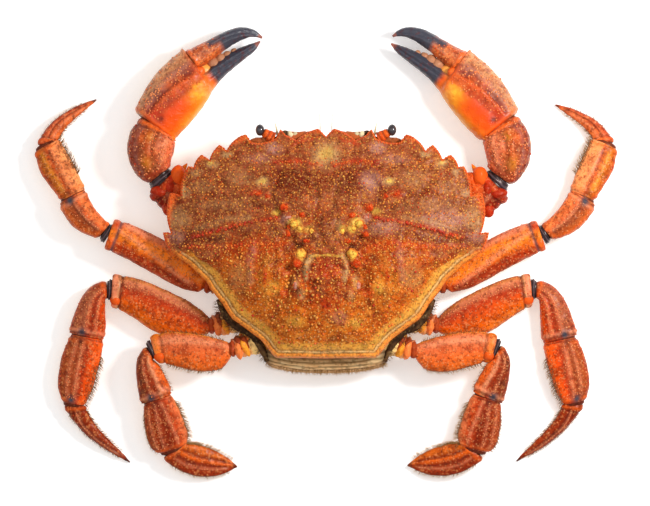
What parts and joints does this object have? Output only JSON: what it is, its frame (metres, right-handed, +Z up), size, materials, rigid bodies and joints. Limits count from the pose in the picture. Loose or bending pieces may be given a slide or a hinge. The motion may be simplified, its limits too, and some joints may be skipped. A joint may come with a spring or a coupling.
{
  "type": "raw brown crab",
  "caption": "Whole raw crab lying flat, claws curved in front and legs spread, with a domed granular shell with toothed edges and dark-tipped claws.",
  "frame": {"origin": "middle of the flat underside of the folded tail, which the crab rests on", "axes": "+Z up, +Y towards the crab's front and claws, +X towards its right side seen from above"},
  "size_m": [0.2688, 0.209, 0.046],
  "materials": {
    "carapace": "satin",
    "limb": "satin",
    "finger": "gloss",
    "membrane": "satin",
    "underside": "satin",
    "eye": "gloss"
  },
  "bodies": {
    "root": {"carapace": "carapace", "sternum": "underside", "abdomen": "underside", "maxilliped_left": "underside", "eye_left": "eye", "eyestalk_left": "limb", "claw_left_base": "limb", "claw_left_merus": "limb", "claw_left_membrane": "membrane", "claw_left_carpus": "limb", "claw_left_palm": "limb", "claw_left_finger": "finger", "leg_front_left_base": "limb", "leg_front_left_merus": "limb", "leg_front_left_membrane": "membrane", "leg_front_left_carpus": "limb", "leg_front_left_propodus": "limb", "leg_front_left_dactyl": "limb", "leg_middle_left_base": "limb", "leg_middle_left_merus": "limb", "leg_middle_left_membrane": "membrane", "leg_middle_left_carpus": "limb", "leg_middle_left_propodus": "limb", "leg_middle_left_dactyl": "limb", "leg_rear_left_base": "limb", "leg_rear_left_merus": "limb", "leg_rear_left_membrane": "membrane", "leg_rear_left_carpus": "limb", "leg_rear_left_propodus": "limb", "leg_rear_left_dactyl": "limb", "maxilliped_right": "underside", "eye_right": "eye", "eyestalk_right": "limb", "claw_right_base": "limb", "claw_right_merus": "limb", "claw_right_membrane": "membrane", "claw_right_carpus": "limb", "claw_right_palm": "limb", "claw_right_finger": "finger", "leg_front_right_base": "limb", "leg_front_right_merus": "limb", "leg_front_right_membrane": "membrane", "leg_front_right_carpus": "limb", "leg_front_right_propodus": "limb", "leg_front_right_dactyl": "limb", "leg_middle_right_base": "limb", "leg_middle_right_merus": "limb", "leg_middle_right_membrane": "membrane", "leg_middle_right_carpus": "limb", "leg_middle_right_propodus": "limb", "leg_middle_right_dactyl": "limb", "leg_rear_right_base": "limb", "leg_rear_right_merus": "limb", "leg_rear_right_membrane": "membrane", "leg_rear_right_carpus": "limb", "leg_rear_right_propodus": "limb", "leg_rear_right_dactyl": "limb"}
  },
  "joints": []
}
